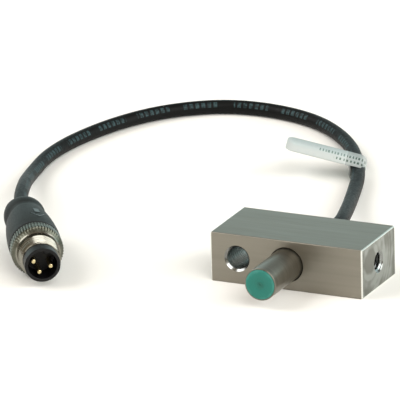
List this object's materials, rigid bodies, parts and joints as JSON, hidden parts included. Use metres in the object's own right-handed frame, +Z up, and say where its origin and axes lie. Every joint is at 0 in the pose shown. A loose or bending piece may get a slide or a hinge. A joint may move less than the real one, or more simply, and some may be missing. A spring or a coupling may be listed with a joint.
{
  "type": "proximity sensor",
  "caption": "Smooth-barrel inductive proximity sensor clamped across a small rectangular block, with a short cable and a round screw-lock plug.",
  "frame": {"origin": "centre of the clamp block's base face", "axes": "+X along the block towards its tapped end, -Y the way the sensing face looks, +Z up from the base face"},
  "size_m": [0.0934, 0.1156, 0.0106],
  "materials": {
    "block": "milled and brushed, clear anodised, satin",
    "screw_steel": "black oxide, semi-matt",
    "pad_brass": "turned, satin",
    "barrel_steel": "ground stainless steel, satin",
    "face_plastic": "moulded, fine matt",
    "ferrite": "sintered, matt",
    "bobbin_plastic": "moulded, matt",
    "copper": "enamelled wire winding, gloss",
    "board": "glass-epoxy laminate with solder mask",
    "chip": "moulded epoxy, matt",
    "component": "fired ceramic with tinned ends",
    "led": "clear epoxy over yellow",
    "resin": "cast, semi-gloss",
    "end_plug_plastic": "moulded, matt",
    "grommet_rubber": "moulded, matt",
    "wire_brown": "extruded, semi-gloss",
    "wire_blue": "extruded, semi-gloss",
    "wire_black": "extruded, semi-gloss",
    "cable_jacket": "extruded, matt, with faint print",
    "label_film": "film laminate, satin",
    "grip_plastic": "overmoulded, fine matt",
    "inner_mould_plastic": "moulded, matt",
    "insert_plastic": "moulded, satin",
    "contact_gold": "gold plated, bright",
    "nut_nickel": "nickel plated, satin with bright thread"
  },
  "bodies": {
    "block": {"mounting_block": "block"},
    "pad": {"clamp_pad": "pad_brass"},
    "screw": {"clamp_screw": "screw_steel"},
    "sensor": {"sensor_barrel": "barrel_steel", "sensing_face": "face_plastic", "ferrite_core": "ferrite", "coil_bobbin": "bobbin_plastic", "copper_coil": "copper", "circuit_board": "board", "oscillator_chip": "chip", "output_transistor": "chip", "board_components": "component", "status_led": "led", "potting_resin": "resin", "end_plug": "end_plug_plastic", "cable_grommet": "grommet_rubber", "brown_wire": "wire_brown", "blue_wire": "wire_blue", "black_wire": "wire_black", "cable_jacket": "cable_jacket", "cable_label": "label_film", "connector_grip": "grip_plastic", "inner_mould": "inner_mould_plastic", "contact_carrier": "insert_plastic", "contact_pin_1": "contact_gold", "contact_pin_3": "contact_gold", "contact_pin_4": "contact_gold", "plug_brown_wire": "wire_brown", "plug_blue_wire": "wire_blue", "plug_black_wire": "wire_black"},
    "nut": {"coupling_nut": "nut_nickel"}
  },
  "joints": [
    {"name": "barrel_slide", "type": "slide", "parent": "block", "child": "sensor", "axis": [0, 1, 0], "range_m": [-0.005, 0.012]},
    {"name": "coupling_nut_spin", "type": "hinge", "parent": "sensor", "child": "nut", "pos_m": [-0.04766, -0.01897, 0.00513], "axis": [0.5439, -0.8375, -0.0523], "continuous": true},
    {"name": "clamp_pad_slide", "type": "slide", "parent": "block", "child": "pad", "axis": [1, 0, 0], "range_m": [0, 0.0014]},
    {"name": "clamp_screw_turn", "type": "hinge", "parent": "pad", "child": "screw", "pos_m": [0.008, 0, 0.00515], "axis": [1, 0, 0], "range_deg": [0, 722]}
  ],
  "couplings": [
    {"joint": "clamp_screw_turn", "follows": "clamp_pad_slide", "rad_per_m": 8976}
  ]
}
